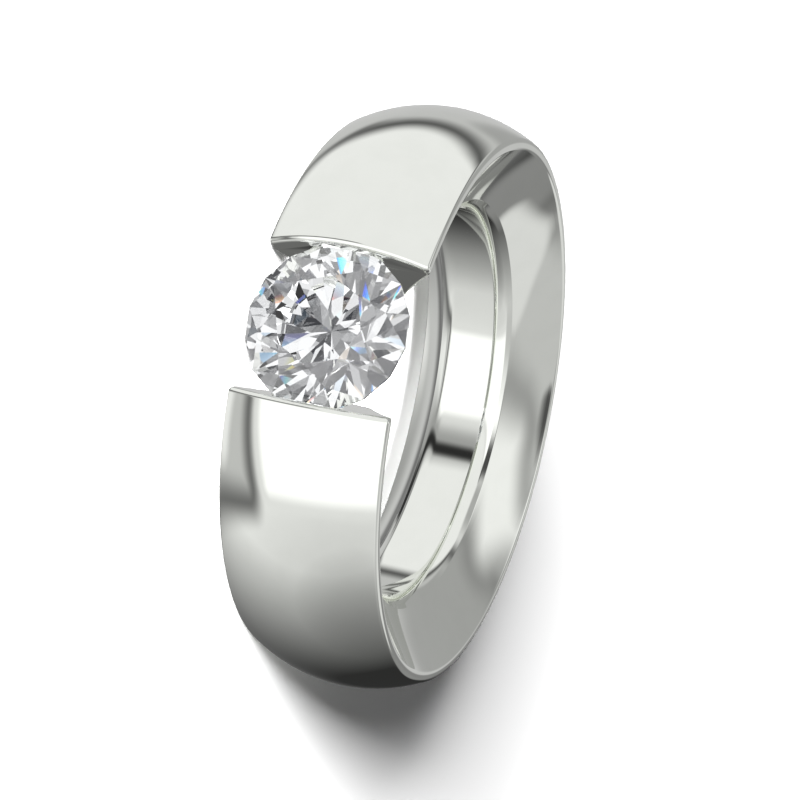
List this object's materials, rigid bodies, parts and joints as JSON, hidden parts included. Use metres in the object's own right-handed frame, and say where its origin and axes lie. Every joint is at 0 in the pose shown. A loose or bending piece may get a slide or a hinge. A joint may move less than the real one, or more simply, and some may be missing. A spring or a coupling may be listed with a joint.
{
  "type": "cubic zirconia ring",
  "caption": "Wide domed finger ring, hollowed at the edges, cut open at the front and holding a round brilliant-cut stone between its ends.",
  "frame": {"origin": "centre of the finger hole, at the middle of the band's width", "axes": "+Z along the finger hole's axis and up, because the ring lies on its side; -Y from the hole's axis towards the stone; +X towards one of the two cut ends"},
  "size_m": [0.0246, 0.0247, 0.0066],
  "materials": {
    "band": "mirror polished white metal",
    "stone": "polished facets, clear"
  },
  "bodies": {
    "root": {"band": "band", "stone": "stone"}
  },
  "joints": []
}
